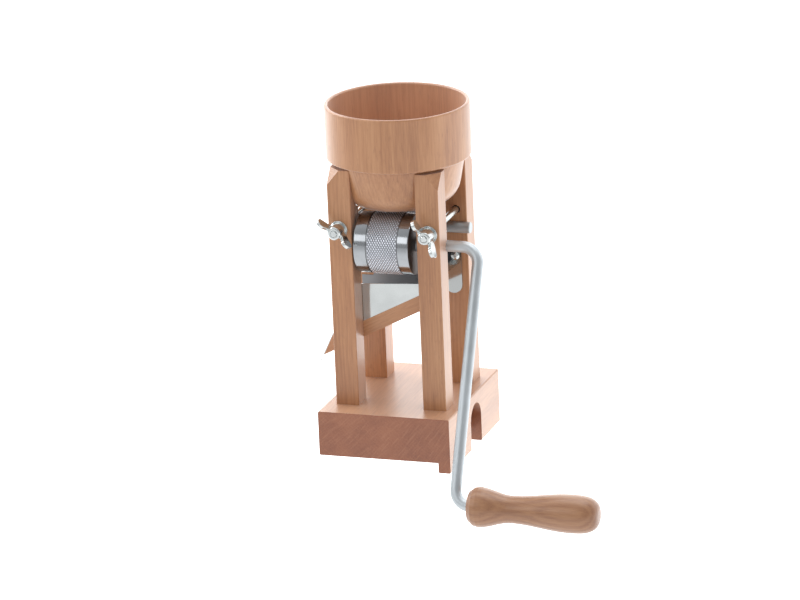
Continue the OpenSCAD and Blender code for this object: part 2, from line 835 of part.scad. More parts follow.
base_block();
leg_front_left();
leg_front_right();
leg_rear_left();
leg_rear_right();
leg_screws();
hopper();
front_roller();
rear_roller();
crank_rod();
rear_axle();
front_roller_pin();
rear_roller_pin();
front_spacers();
rear_spacers();
tie_bolt_left();
tie_bolt_right();
washer_left();
washer_right();
wing_nut_left();
wing_nut_right();
grip();
grip_ring();
chute();
chute_rail();
rail_screws();
chute_screws();
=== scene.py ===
"""Looks of a hand-cranked grain flaker: oiled beech, turned and folded steel, zinc-plated bolts."""
import math

import bmesh
import bpy
from mathutils import Matrix, Vector


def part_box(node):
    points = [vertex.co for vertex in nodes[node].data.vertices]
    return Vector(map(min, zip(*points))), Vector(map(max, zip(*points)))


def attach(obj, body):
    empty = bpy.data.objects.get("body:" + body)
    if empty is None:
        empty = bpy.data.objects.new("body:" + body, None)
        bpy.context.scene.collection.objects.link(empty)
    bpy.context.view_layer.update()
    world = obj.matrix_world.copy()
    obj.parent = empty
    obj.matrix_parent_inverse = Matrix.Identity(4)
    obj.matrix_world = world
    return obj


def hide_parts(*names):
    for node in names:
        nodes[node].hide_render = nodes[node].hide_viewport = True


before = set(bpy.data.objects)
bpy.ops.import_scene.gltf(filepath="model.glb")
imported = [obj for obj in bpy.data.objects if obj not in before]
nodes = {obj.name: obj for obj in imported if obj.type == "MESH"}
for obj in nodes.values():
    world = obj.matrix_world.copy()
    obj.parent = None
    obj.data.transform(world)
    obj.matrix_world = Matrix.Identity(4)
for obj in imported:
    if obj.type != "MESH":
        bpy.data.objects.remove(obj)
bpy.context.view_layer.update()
scene = bpy.context.scene
MM = 0.001
SAME_PLACE = 1e-6
SORT_DIGITS = 5

# Camera, fitted to the photograph
FOCAL_PX = 5357.54
PHOTO_W = 800
SENSOR_MM = 36.0
CAMERA_AZ = math.radians(19.07)
CAMERA_EL = math.radians(17.58)
CAMERA_ROLL = math.radians(2.41)
CAMERA_DIST = 4.6903
CAMERA_TARGET = Vector((-0.00466, 0.0, 0.12279))
CLIP_NEAR, CLIP_FAR = 0.1, 60.0


def make_camera():
    data = bpy.data.cameras.new("camera")
    data.sensor_width = SENSOR_MM
    data.lens = FOCAL_PX / PHOTO_W * SENSOR_MM
    data.clip_start = CLIP_NEAR
    data.clip_end = CLIP_FAR
    camera = bpy.data.objects.new("camera", data)
    scene.collection.objects.link(camera)
    sin_a, cos_a = math.sin(CAMERA_AZ), math.cos(CAMERA_AZ)
    sin_e, cos_e = math.sin(CAMERA_EL), math.cos(CAMERA_EL)
    forward = Vector((-sin_a * cos_e, cos_a * cos_e, -sin_e))
    right = Vector((cos_a, sin_a, 0.0))
    down = -right.cross(forward)
    sin_r, cos_r = math.sin(CAMERA_ROLL), math.cos(CAMERA_ROLL)
    image_x = right * cos_r + down * sin_r
    image_y = right * sin_r - down * cos_r
    turn = Matrix((image_x, image_y, -forward)).transposed()
    camera.matrix_world = Matrix.Translation(CAMERA_TARGET - forward * CAMERA_DIST) @ turn.to_4x4()
    scene.camera = camera


make_camera()


# Node helpers

def scaled(colour, *shares):
    """A colour times one share, or times a share for each channel."""
    if len(shares) == 1:
        shares = shares * 3
    return tuple(channel * share for channel, share in zip(colour, shares))


def new_material(name, **values):
    """A Principled material; values are the shader's own sockets, with underscores for spaces."""
    material = bpy.data.materials.new(name)
    material.use_nodes = True
    shader = material.node_tree.nodes["Principled BSDF"]
    for key, value in values.items():
        shader.inputs[key.replace("_", " ")].default_value = value
    return material, shader


DULL_SHARE = 0.6


class Graph:
    """A node tree, with short calls for the nodes used here."""

    def __init__(self, owner, output="Object"):
        self.tree = owner.node_tree
        coords = self.add("TexCoord")
        self.place = coords.outputs[output]
        self.normal = coords.outputs["Normal"]

    def add(self, kind, **settings):
        node = self.tree.nodes.new("ShaderNode" + kind)
        for key, value in settings.items():
            setattr(node, key, value)
        return node

    def wire(self, source, node, socket):
        if isinstance(source, (int, float, tuple)):
            node.inputs[socket].default_value = source
        else:
            self.tree.links.new(source, node.inputs[socket])

    def mapped(self, turn=(0, 0, 0), size=(1, 1, 1), shift=(0, 0, 0), source=None):
        node = self.add("Mapping")
        self.wire(source or self.place, node, "Vector")
        self.wire(shift, node, "Location")
        self.wire(turn, node, "Rotation")
        self.wire(size, node, "Scale")
        return node.outputs["Vector"]

    def noise(self, vector, detail=3.0, rough=0.5):
        node = self.add("TexNoise")
        self.wire(vector, node, "Vector")
        self.wire(1.0, node, "Scale")
        self.wire(detail, node, "Detail")
        self.wire(rough, node, "Roughness")
        return node.outputs["Fac"]

    def math(self, operation, a, b=0.0, c=0.0, clamp=False):
        node = self.add("Math", operation=operation, use_clamp=clamp)
        self.wire(a, node, 0)
        self.wire(b, node, 1)
        if operation == "MULTIPLY_ADD":
            self.wire(c, node, 2)
        return node.outputs[0]

    def dot(self, vector, direction):
        node = self.add("VectorMath", operation="DOT_PRODUCT")
        self.wire(vector, node, 0)
        self.wire(direction, node, 1)
        return node.outputs["Value"]

    def beyond(self, direction, distance, steepness):
        """0 up to a distance along a direction, then rising to 1 at the steepness per metre."""
        return self.math("MULTIPLY_ADD", self.dot(self.place, direction), steepness,
                         -steepness * distance, clamp=True)

    def ramp(self, source, stops):
        """stops are (position, value) pairs; a value is a grey or an RGB triple."""
        node = self.add("ValToRGB")
        points = node.color_ramp.elements
        while len(points) < len(stops):
            points.new(0.5)
        for point, (position, value) in zip(points, stops):
            rgb = (value,) * 3 if isinstance(value, (int, float)) else value
            point.position = position
            point.color = (*rgb, 1.0)
        self.wire(source, node, "Fac")
        return node.outputs["Color"]

    def mix(self, factor, a, b, blend="MIX"):
        node = self.add("Mix", data_type="RGBA", blend_type=blend)
        self.wire(factor, node, "Factor")
        for value, socket in ((a, "A"), (b, "B")):
            target = [s for s in node.inputs if s.name == socket and s.type == "RGBA"][0]
            if isinstance(value, tuple):
                target.default_value = (*value, 1.0)
            else:
                self.tree.links.new(value, target)
        return [s for s in node.outputs if s.type == "RGBA"][0]

    def crossing(self, source, low, high, half_span=0.15):
        """A value that runs from low to high while the source crosses the middle of its range."""
        return self.ramp(source, [(0.5 - half_span, low), (0.5 + half_span, high)])

    def clouded(self, cloud, colour, dull, half_span=0.15):
        """A colour with dull patches where a noise is low."""
        return self.mix(self.crossing(cloud, DULL_SHARE, 0.0, half_span), colour, dull)

    def bump(self, height, distance, strength, normal=None):
        node = self.add("Bump")
        self.wire(strength, node, "Strength")
        self.wire(distance, node, "Distance")
        self.wire(height, node, "Height")
        if normal is not None:
            self.wire(normal, node, "Normal")
        return node.outputs["Normal"]


# Beech: a solid texture. Fibres run along the texture's Z, growth rings lie round a far pith line
BEECH_LIGHT = (0.525, 0.262, 0.124)
BEECH_MID = (0.450, 0.207, 0.091)
BEECH_DARK = (0.350, 0.147, 0.062)
BEECH_RANGE = 0.15
FLECK = (0.270, 0.108, 0.048)
RAY = (0.660, 0.380, 0.210)
END_GRAIN = (0.80, 0.73, 0.71)
# Painted light: a paler tint that lightens the inner walls of the hopper's bowl
BOWL_PAINTED_LIGHT = (0.86, 0.62, 0.52)
BOWL_PAINTED_LIGHT_SHARE = 0.20
OIL = {"IOR": 1.48, "Coat_Weight": 0.8, "Coat_Roughness": 0.30, "Coat_IOR": 1.5, "Sheen_Roughness": 0.35}

# Noise cells in a metre, twice across the fibres and then along them, and their weights
BROAD, BROAD_WEIGHT = (46, 46, 7), 0.50
STREAK, STREAK_WEIGHT = (760, 760, 34), 0.34
FIBRE, FIBRE_WEIGHT = (2100, 2100, 62), 0.20
FIBRE_ROUGH = 0.6
RING_STRETCH = (1, 1, 0.05)
RING_WAVER, RING_DETAIL, RING_DETAIL_SCALE = 6.0, 2.0, 0.5
RAYS_ROUND, RAYS_OUT, RAYS_ALONG = 280.0, 75.0, 120.0

# Where a ray starts to show and how strong it gets, on a side and on an end
SIDE_RAYS = [(0.60, 0.0), (0.74, 0.26)]
END_RAYS = [(0.50, 0.0), (0.74, 0.36)]
# From this cosine to the fibres on, a face looks like a full end
END_FULL = 0.95
WOOD_ROUGHEST, WOOD_SMOOTHEST = 0.58, 0.44
FIBRE_RELIEF, STREAK_RELIEF, RAY_RELIEF = 0.7, 0.3, 0.4
PORE_DEPTH, PORE_STRENGTH = 0.00007, 0.5
BOWL_STEEPNESS = 60.0

ALONG_Z = (0.0, 0.0, 0.0)
ALONG_Y = (math.pi / 2, 0.0, 0.0)
ALONG_X = (0.0, -math.pi / 2, 0.0)
CHUTE_SLOPE = math.radians(26.7)
ALONG_RAIL = (0.0, -math.pi / 2 + CHUTE_SLOPE, 0.0)
FIBRES = {
    ALONG_Z: (0, 0, 1), ALONG_Y: (0, 1, 0), ALONG_X: (1, 0, 0),
    ALONG_RAIL: (math.cos(CHUTE_SLOPE), 0.0, math.sin(CHUTE_SLOPE)),
}


def growth_rings(g, grain, scale):
    """Wavering rings round the pith; the scale is the wave texture's own."""
    bands = g.add("TexWave", wave_type="RINGS", rings_direction="Z", wave_profile="SIN")
    g.wire(g.mapped(size=RING_STRETCH, source=grain), bands, "Vector")
    g.wire(scale, bands, "Scale")
    g.wire(RING_WAVER, bands, "Distortion")
    g.wire(RING_DETAIL, bands, "Detail")
    g.wire(RING_DETAIL_SCALE, bands, "Detail Scale")
    return bands.outputs["Fac"]


def rays_of(g, grain):
    """Thin sheets that run out from the pith: streaks on an end, small flecks on a side."""
    parts = g.add("SeparateXYZ")
    g.wire(grain, parts, 0)
    x, y, z = parts.outputs
    radius = g.math("SQRT", g.math("MULTIPLY_ADD", x, x, g.math("MULTIPLY", y, y)))
    spot = g.add("CombineXYZ")
    g.wire(g.math("MULTIPLY", g.math("ARCTAN2", y, x), RAYS_ROUND), spot, 0)
    g.wire(g.math("MULTIPLY", radius, RAYS_OUT), spot, 1)
    g.wire(g.math("MULTIPLY", z, RAYS_ALONG), spot, 2)
    return g.noise(spot.outputs[0], detail=1.0)


def facing_axis(g):
    """1 on walls that face the hopper's axis, 0 on those that face away."""
    outward = g.dot(g.mapped(size=(1, 1, 0)), g.normal)
    return g.math("MULTIPLY", outward, -BOWL_STEEPNESS, clamp=True)


def wood_tones(g, grain, streak, fibre, tone, figure, rings):
    """The run from dark to light, out of growth rings, broad waves, streaks and fibres."""
    bands = growth_rings(g, grain, rings)
    broad = g.noise(g.mapped(size=BROAD, source=grain), detail=2.0)
    weights = ((bands, figure), (broad, BROAD_WEIGHT), (streak, STREAK_WEIGHT), (fibre, FIBRE_WEIGHT))
    shade = 0.0
    for source, weight in weights:
        shade = g.math("MULTIPLY_ADD", source, weight, shade)
    middle = sum(weight for _, weight in weights) / 2
    return g.ramp(shade, [(middle - BEECH_RANGE, scaled(BEECH_DARK, tone)),
                          (middle, scaled(BEECH_MID, tone)),
                          (middle + BEECH_RANGE, scaled(BEECH_LIGHT, tone))])


def wood_relief(g, streak, fibre, flecks):
    height = g.math("MULTIPLY_ADD", fibre, FIBRE_RELIEF, g.math("MULTIPLY", streak, STREAK_RELIEF))
    pores = g.math("SUBTRACT", height, g.math("MULTIPLY", flecks, RAY_RELIEF))
    return g.bump(pores, PORE_DEPTH, PORE_STRENGTH)


def beech(name, turn, pith, tone=1.0, figure=0.06, rings=120.0, end_grain=END_GRAIN, end_from=0.30,
          sheen=0.45, bowl=False):
    """Oiled beech. turn lays the texture's Z along the fibres, pith moves the rings' centre away."""
    material, shader = new_material(name, Sheen_Weight=sheen, **OIL)
    g = Graph(material)
    grain = g.mapped(turn=turn, shift=pith)
    streak = g.noise(g.mapped(size=STREAK, source=grain), detail=2.0, rough=FIBRE_ROUGH)
    fibre = g.noise(g.mapped(size=FIBRE, source=grain), detail=2.0, rough=FIBRE_ROUGH)
    base = wood_tones(g, grain, streak, fibre, tone, figure, rings)
    rays = rays_of(g, grain)
    flecks = g.ramp(rays, SIDE_RAYS)
    on_side = g.mix(flecks, base, scaled(FLECK, tone))
    on_end = g.mix(g.ramp(rays, END_RAYS), base, scaled(RAY, tone))
    across = g.math("ABSOLUTE", g.dot(g.normal, FIBRES[turn]))
    ends = g.ramp(across, [(end_from, 0.0), (END_FULL, 1.0)])
    coloured = g.mix(ends, on_side, g.mix(1.0, on_end, end_grain, "MULTIPLY"))
    # Painted light on the bowl's inner walls, those that face the hopper's axis
    if bowl:
        coloured = g.mix(g.math("MULTIPLY", facing_axis(g), BOWL_PAINTED_LIGHT_SHARE), coloured, BOWL_PAINTED_LIGHT)
    g.wire(coloured, shader, "Base Color")
    g.wire(g.crossing(fibre, WOOD_ROUGHEST, WOOD_SMOOTHEST, half_span=0.2), shader, "Roughness")
    g.wire(wood_relief(g, streak, fibre, flecks), shader, "Normal")
    return material


# Metals
ROD = (0.55, 0.595, 0.625)
ROLLER = (0.415, 0.435, 0.46)
# Painted shade: the rollers' end faces are near black-brown, for the shade and dark reflection of the
# legs beside them
FACED_PAINTED_SHADE = (0.15, 0.135, 0.13)
KNURL = (0.485, 0.505, 0.55)
SHEET = (0.575, 0.60, 0.60)
# Painted shade: the chute's inside, and the dark reflection of the roller in it
INSIDE_PAINTED_SHADE = (0.26, 0.26, 0.27)
# Painted reflection: the tongue is darker, as if it mirrored dark surroundings
TONGUE_PAINTED_REFLECTION = (0.36, 0.37, 0.37)
ZINC = (0.70, 0.73, 0.73)

# Shares of a metal's colour that are left in its dull patches, and on a knurl the painted highlight on
# its points and the painted shade in its grooves
ROD_DULL = 0.82
TURNED_DULL = 0.80
SHEET_DULL = 0.86
ZINC_DULL = (0.80, 0.83, 0.84)
POINT_PAINTED_HIGHLIGHT, GROOVE_PAINTED_SHADE = 1.75, 0.62

# Noise cells in a metre along each axis; a relief is a depth in metres and a strength
DRAWN_LINES = (2600, 2600, 14)
DRAWN_SMUDGES = (55, 55, 55)
DRAWN_RELIEF = (0.00001, 0.6)
LINE_SHARE = 0.6
TURNED_RINGS = (3600, 5, 5)
TURNED_SMUDGES = (70, 70, 70)
TURNED_RELIEF = (0.000007, 0.7)
KNURL_SPOTS = (90, 90, 90)
KNURL_SHADE_SCATTER = 0.3
GROOVE_STOPS = [(0.34, 0.0), (0.86, 1.0)]
SHEET_ROLL = (24, 24, 30)
ROLL_RELIEF = (0.0012, 1.0)
SHEET_SCRATCHES = (90, 2600, 2600)
SCRATCH_RELIEF = (0.000003, 0.6)
SHEET_HAZE = (80, 80, 80)
ZINC_CLOUDS = (210, 210, 210)
ZINC_PITS = (1300, 1300, 1300)
PIT_RELIEF = (0.00001, 0.3)

# How far each roughness strays
DRAWN_SWING = 0.05
TURNED_SWING = 0.04
KNURL_SWING = 0.25
SHEET_SWING = 0.06
ZINC_SWING = 0.08

# The chute: its inside is rougher and painted darker as shade, and its tongue, painted darker as a dark
# reflection, starts at this distance along X, in metres
INSIDE_ROUGHER = 0.22
INSIDE_STEEPNESS = 45.0
TONGUE_SHARE = 0.8
TONGUE_FROM = 0.030
TONGUE_STEEPNESS = 400.0


def brushed(name, colour, rough):
    """Steel drawn along X, with fine lines and faint smudges."""
    material, shader = new_material(name, Metallic=1.0)
    g = Graph(material)
    lines = g.noise(g.mapped(size=DRAWN_LINES, source=g.mapped(turn=ALONG_X)), detail=2.0)
    smudges = g.noise(g.mapped(size=DRAWN_SMUDGES))
    g.wire(g.clouded(smudges, colour, scaled(colour, ROD_DULL)), shader, "Base Color")
    both = g.math("MULTIPLY_ADD", lines, LINE_SHARE, g.math("MULTIPLY", smudges, 1.0 - LINE_SHARE))
    g.wire(g.crossing(both, rough - DRAWN_SWING, rough + DRAWN_SWING), shader, "Roughness")
    g.wire(g.bump(lines, *DRAWN_RELIEF), shader, "Normal")
    return material


def turned(name, colour, rough):
    """Steel turned about an axis along X: fine rings that run round it."""
    material, shader = new_material(name, Metallic=1.0)
    g = Graph(material)
    rings = g.noise(g.mapped(size=TURNED_RINGS), rough=0.7)
    smudges = g.noise(g.mapped(size=TURNED_SMUDGES))
    g.wire(g.clouded(smudges, colour, scaled(colour, TURNED_DULL)), shader, "Base Color")
    varied = g.crossing(rings, rough - TURNED_SWING, rough + TURNED_SWING, half_span=0.2)
    g.wire(varied, shader, "Roughness")
    g.wire(g.bump(rings, *TURNED_RELIEF), shader, "Normal")
    return material


def knurled(name, colour, rough):
    """Steel with painted highlights on its points and painted shade in its grooves; the mesh's own groove
    attribute is 0 at a point.
    """
    material, shader = new_material(name, Metallic=1.0)
    g = Graph(material)
    depth = g.add("Attribute", attribute_name="groove").outputs["Fac"]
    spots = g.noise(g.mapped(size=KNURL_SPOTS))
    # Painted shade deepens with the groove, scattered a little by noise
    groove_shading = g.math("MULTIPLY_ADD", spots, KNURL_SHADE_SCATTER, g.math("SUBTRACT", depth, KNURL_SHADE_SCATTER / 2))
    points, grooves = scaled(colour, POINT_PAINTED_HIGHLIGHT), scaled(colour, GROOVE_PAINTED_SHADE)
    g.wire(g.mix(g.ramp(groove_shading, GROOVE_STOPS), points, grooves), shader, "Base Color")
    g.wire(g.crossing(groove_shading, rough, rough + KNURL_SWING, half_span=0.3), shader, "Roughness")
    return material


def chute_inside(g):
    """1 on the chute's walls that face its middle, 0 on the outer faces and on the tongue: where painted
    shade darkens it.
    """
    facing_in = g.math("MULTIPLY", g.dot(g.place, (0, 1, 0)), g.dot(g.normal, (0, -1, 0)))
    left_of_tongue = g.beyond((-1, 0, 0), -TONGUE_FROM, TONGUE_STEEPNESS)
    return g.math("MULTIPLY", g.math("MULTIPLY", facing_in, INSIDE_STEEPNESS, clamp=True), left_of_tongue)


def polished(name, colour, rough):
    """Bright sheet with a slight roll to it and fine scratches; its inside is rougher and darkened by
    painted shade, its tongue darkened by a painted reflection.
    """
    material, shader = new_material(name, Metallic=1.0)
    g = Graph(material)
    sloping = (0.0, CHUTE_SLOPE, 0.0)
    roll = g.noise(g.mapped(size=SHEET_ROLL, turn=sloping), detail=0.0)
    scratches = g.noise(g.mapped(size=SHEET_SCRATCHES, turn=sloping), detail=1.0)
    haze = g.noise(g.mapped(size=SHEET_HAZE), detail=4.0)
    bright = g.clouded(haze, colour, scaled(colour, SHEET_DULL))
    # Painted dark reflection on the tongue
    tongue = g.math("MULTIPLY", g.beyond((1, 0, 0), TONGUE_FROM, TONGUE_STEEPNESS), TONGUE_SHARE)
    # Painted shade on the chute's inner walls
    inside = chute_inside(g)
    g.wire(g.mix(inside, g.mix(tongue, bright, TONGUE_PAINTED_REFLECTION), INSIDE_PAINTED_SHADE), shader, "Base Color")
    hazy = g.ramp(haze, [(0.3, rough), (0.75, rough + SHEET_SWING)])
    g.wire(g.math("MULTIPLY_ADD", inside, INSIDE_ROUGHER, hazy), shader, "Roughness")
    rolled = g.bump(roll, *ROLL_RELIEF)
    g.wire(g.bump(scratches, *SCRATCH_RELIEF, normal=rolled), shader, "Normal")
    return material


def plated(name, colour, rough):
    """Bright zinc: slightly cloudy, with small pits."""
    material, shader = new_material(name, Metallic=1.0)
    g = Graph(material)
    clouds = g.noise(g.mapped(size=ZINC_CLOUDS))
    pits = g.noise(g.mapped(size=ZINC_PITS), detail=2.0)
    dull = scaled(colour, *ZINC_DULL)
    g.wire(g.clouded(clouds, colour, dull, half_span=0.12), shader, "Base Color")
    g.wire(g.crossing(clouds, rough + ZINC_SWING, rough, half_span=0.2), shader, "Roughness")
    g.wire(g.bump(pits, *PIT_RELIEF), shader, "Normal")
    return material


MATERIALS = {
    "beech_base": beech("beech_base", ALONG_Y, pith=(-0.25, 0.28, 0.0), tone=1.08, figure=0.03,
                        end_grain=(0.58, 0.39, 0.33)),
    "beech_leg_a": beech("beech_leg_a", ALONG_Z, pith=(0.31, 0.32, 0.0), tone=1.03),
    "beech_leg_b": beech("beech_leg_b", ALONG_Z, pith=(-0.29, 0.15, 0.3), tone=0.97),
    # Painted light: a much lighter copy of the leg beech, making up for the shade on the rear left leg
    "beech_leg_c_painted_light": beech("beech_leg_c_painted_light", ALONG_Z, pith=(-0.33, -0.18, 0.6), tone=1.32),
    "beech_hopper": beech("beech_hopper", ALONG_Z, pith=(0.25, -0.32, 0.1), end_from=0.5, bowl=True),
    "beech_rail": beech("beech_rail", ALONG_RAIL, pith=(0.3, 0.1, 0.0), tone=1.05, figure=0.02),
    "beech_grip": beech("beech_grip", ALONG_X, pith=(0.012, 0.216, 0.1), tone=0.72, figure=0.14,
                        rings=75.0, end_from=0.12, sheen=0.2),
    "rod": brushed("rod", ROD, 0.46),
    "turned": turned("turned", ROLLER, 0.14),
    "faced_painted_shade": turned("faced_painted_shade", FACED_PAINTED_SHADE, 0.45),
    "knurl": knurled("knurl", KNURL, 0.30),
    "sheet": polished("sheet", SHEET, 0.07),
    "zinc": plated("zinc", ZINC, 0.19),
}


# CAD nodes and their finishes
FINISH = {
    "base_block": "beech_base",
    "leg_front_left": "beech_leg_a", "leg_front_right": "beech_leg_b",
    "leg_rear_left": "beech_leg_c_painted_light", "leg_rear_right": "beech_leg_a",
    "hopper": "beech_hopper", "grip": "beech_grip", "chute_rail": "beech_rail",
    "crank_rod": "rod", "rear_axle": "rod", "front_spacers": "rod", "rear_spacers": "rod",
    "front_roller_pin": "rod", "rear_roller_pin": "rod", "grip_ring": "rod",
    "front_roller": "turned", "rear_roller": "turned",
    "chute": "sheet",
    "leg_screws": "zinc", "tie_bolt_left": "zinc", "tie_bolt_right": "zinc",
    "washer_left": "zinc", "washer_right": "zinc", "wing_nut_left": "zinc", "wing_nut_right": "zinc",
    "rail_screws": "zinc", "chute_screws": "zinc",
}

# Nodes with eased edges, and the width of the easing in mm
EASED = {
    "base_block": 0.9, "leg_front_left": 0.5, "leg_front_right": 0.5, "leg_rear_left": 0.5,
    "leg_rear_right": 0.5, "hopper": 0.5, "chute": 0.15,
    "washer_left": 0.25, "washer_right": 0.25,
}
EASED_FROM = math.radians(32)
EASED_SEGMENTS = 2
FLAT_FACE_WEIGHT = 100

# Cast nodes: cell and swelling in mm. The swelling gives back what the smoothing takes off
CAST = ("wing_nut_left", "wing_nut_right")
CAST_VOXEL = 0.20
CAST_SMOOTHING, CAST_SMOOTH_SHARE = 10, 0.5
CAST_SWELL = 0.12


def paint_nodes():
    for name, finish in FINISH.items():
        materials = nodes[name].data.materials
        materials.clear()
        materials.append(MATERIALS[finish])


def ease_edges(piece, width):
    weld = piece.modifiers.new("weld", "WELD")
    weld.merge_threshold = SAME_PLACE
    bevel = piece.modifiers.new("eased edges", "BEVEL")
    bevel.width = width * MM
    bevel.segments = EASED_SEGMENTS
    bevel.limit_method = "ANGLE"
    bevel.angle_limit = EASED_FROM
    flat = piece.modifiers.new("flat faces", "WEIGHTED_NORMAL")
    flat.mode = "FACE_AREA_WITH_ANGLE"
    flat.weight = FLAT_FACE_WEIGHT


def cast_skin(piece):
    remesh = piece.modifiers.new("cast skin", "REMESH")
    remesh.mode = "VOXEL"
    remesh.voxel_size = CAST_VOXEL * MM
    remesh.use_smooth_shade = True
    smooth = piece.modifiers.new("soft edges", "SMOOTH")
    smooth.iterations = CAST_SMOOTHING
    smooth.factor = CAST_SMOOTH_SHARE
    swell = piece.modifiers.new("full size again", "DISPLACE")
    swell.direction = "NORMAL"
    swell.strength = CAST_SWELL * MM
    swell.mid_level = 0.0


paint_nodes()
for eased_node, eased_width in EASED.items():
    ease_edges(nodes[eased_node], eased_width)
for cast_node in CAST:
    cast_skin(nodes[cast_node])


# Pieces made here
SHARP = math.radians(28)
# The corners of a square, going round it
CORNERS = ((-1, -1), (1, -1), (1, 1), (-1, 1))


def add_piece(name, mesh, body, material, replaced):
    piece = bpy.data.objects.new(name, mesh)
    scene.collection.objects.link(piece)
    mesh.materials.clear()
    mesh.materials.append(material)
    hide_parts(replaced)
    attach(piece, body)


# Rollers: a diamond knurl cut between two smooth shoulders. Sizes are in mm
DIAMONDS = 45
KNURL_PITCH = 2.3
KNURL_DEPTH = 0.6
SHOULDER_STEP = 0.35
SHOULDER_LEFT, SHOULDER_RIGHT = 12.0, 10.4
RELIEF_W, RELIEF_D = 0.9, 0.8
RIM = 0.9
RIM_BEND = 0.3 * RIM
BORE_R = 5.04
# A ring this far inside each rim keeps the rim's slope out of the shoulder's shading
STRAIGHTENER = 0.1
END_FACING = 0.9


def roller_rings(length, top):
    """Rings from left to right: distance in mm, radius of the even points, radius of the odd ones."""
    shoulder = top - SHOULDER_STEP
    relief = shoulder - RELIEF_D
    low = top - KNURL_DEPTH

    def one_end(width):
        """One end and its shoulder, up to a knurl that starts this far in."""
        return [(0, BORE_R), (0, shoulder - RIM), (RIM_BEND, shoulder - RIM_BEND), (RIM, shoulder),
                (RIM + STRAIGHTENER, shoulder), (width - RELIEF_W, shoulder), (width - RELIEF_W, relief),
                (width, relief), (width, low)]

    start, end = SHOULDER_LEFT, length - SHOULDER_RIGHT
    rings = [(x, r, r) for x, r in one_end(SHOULDER_LEFT)]
    rows = round(2 * (end - start) / KNURL_PITCH)
    for row in range(1, rows):
        x = start + (end - start) * row / rows
        rings.append((x, low, top) if row % 2 else (x, top, low))
    return rings + [(length - x, r, r) for x, r in reversed(one_end(SHOULDER_RIGHT))]


def roller_points(rings, left, axis):
    """Points of all rings, round an axis along X, in metres."""
    points = []
    for x, even, odd in rings:
        for i in range(2 * DIAMONDS):
            angle = math.pi * i / DIAMONDS
            radius = (odd if i % 2 else even) * MM
            points.append((left + x * MM, axis[0] + radius * math.cos(angle),
                           axis[1] + radius * math.sin(angle)))
    return points


def knurl_quad(corners, radii):
    """Two faces, folded along the two corners that lie lower."""
    a, b, c, d = corners
    if radii[0] + radii[2] < radii[1] + radii[3]:
        return [(a, d, c), (a, c, b)]
    return [(a, d, b), (d, c, b)]


def roller_faces(rings):
    """Faces, and for each whether it belongs to the knurl."""
    count = 2 * DIAMONDS
    faces, cut_faces = [], []
    for k, (_, *radii) in enumerate(rings):
        after = (k + 1) % len(rings)
        next_radii = rings[after][1:]
        cut = len({*radii}) > 1 or len({*next_radii}) > 1
        for i in range(count):
            j = (i + 1) % count
            a, b, c, d = k * count + i, k * count + j, after * count + j, after * count + i
            if cut:
                corner_radii = (radii[i % 2], radii[j % 2], next_radii[j % 2], next_radii[i % 2])
                added = knurl_quad((a, b, c, d), corner_radii)
            else:
                added = [(a, d, c, b)]
            faces += added
            cut_faces += [cut] * len(added)
    return faces, cut_faces


def paint_roller(mesh, rings, top, cut_faces):
    """Finishes for the turned faces, the end faces in painted shade and the knurled faces, and the depth
    of each point.
    """
    mesh.materials.append(MATERIALS["faced_painted_shade"])
    mesh.materials.append(MATERIALS["knurl"])
    for face, cut in zip(mesh.polygons, cut_faces):
        face.material_index = 2 if cut else 1 if abs(face.normal.x) > END_FACING else 0
    groove = mesh.attributes.new("groove", "FLOAT", "POINT")
    depths = [(top - r) / KNURL_DEPTH for _, even, odd in rings for r in [even, odd] * DIAMONDS]
    groove.data.foreach_set("value", depths)


def make_roller(node, body):
    lo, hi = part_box(node)
    axis = ((lo.y + hi.y) / 2, (lo.z + hi.z) / 2)
    top = (hi.z - lo.z) / 2 / MM
    rings = roller_rings((hi.x - lo.x) / MM, top)
    faces, cut_faces = roller_faces(rings)
    mesh = bpy.data.meshes.new(node + "_knurled")
    mesh.from_pydata(roller_points(rings, lo.x, axis), [], faces)
    mesh.polygons.foreach_set("use_smooth", [not cut for cut in cut_faces])
    mesh.update()
    mesh.set_sharp_from_angle(angle=SHARP)
    add_piece(node + "_knurled", mesh, body, MATERIALS["turned"], node)
    paint_roller(mesh, rings, top, cut_faces)


make_roller("front_roller", "crank")
make_roller("rear_roller", "rear_roller_set")


# Tie bolts: a domed head behind, a square neck, a plain shank and a rolled thread in front, in mm
THREAD_PITCH = 1.0
THREAD_DEPTH = 0.55
THREAD_LEN = 24.0
THREAD_RUNOUT = 2.0
FLANK_STEEPNESS, CREST_CUT = 2.2, 0.12
CUT_END = 0.7
BOLT_R = 3.0
BOLT_HEAD_R, BOLT_HEAD_H = 7.25, 3.6
NECK_W, NECK_DEPTH = 6.0, 4.0
BOLT_SIDES = 36
ROWS_PER_TURN = 8
DOME_STEPS = 8


def thread_radius(y, turn_share, start):
    """Radius at a place along the thread; it runs out over its last turns and has a cut end."""
    phase = (y / THREAD_PITCH + turn_share) % 1.0
    depth = THREAD_DEPTH * min(1.0, FLANK_STEEPNESS * abs(phase - 0.5) + CREST_CUT)
    depth *= min(1.0, max(0.0, (start + THREAD_LEN - y) / THREAD_RUNOUT))
    end_cut = max(0.0, CUT_END - (y - start))
    return BOLT_R - max(depth, end_cut)


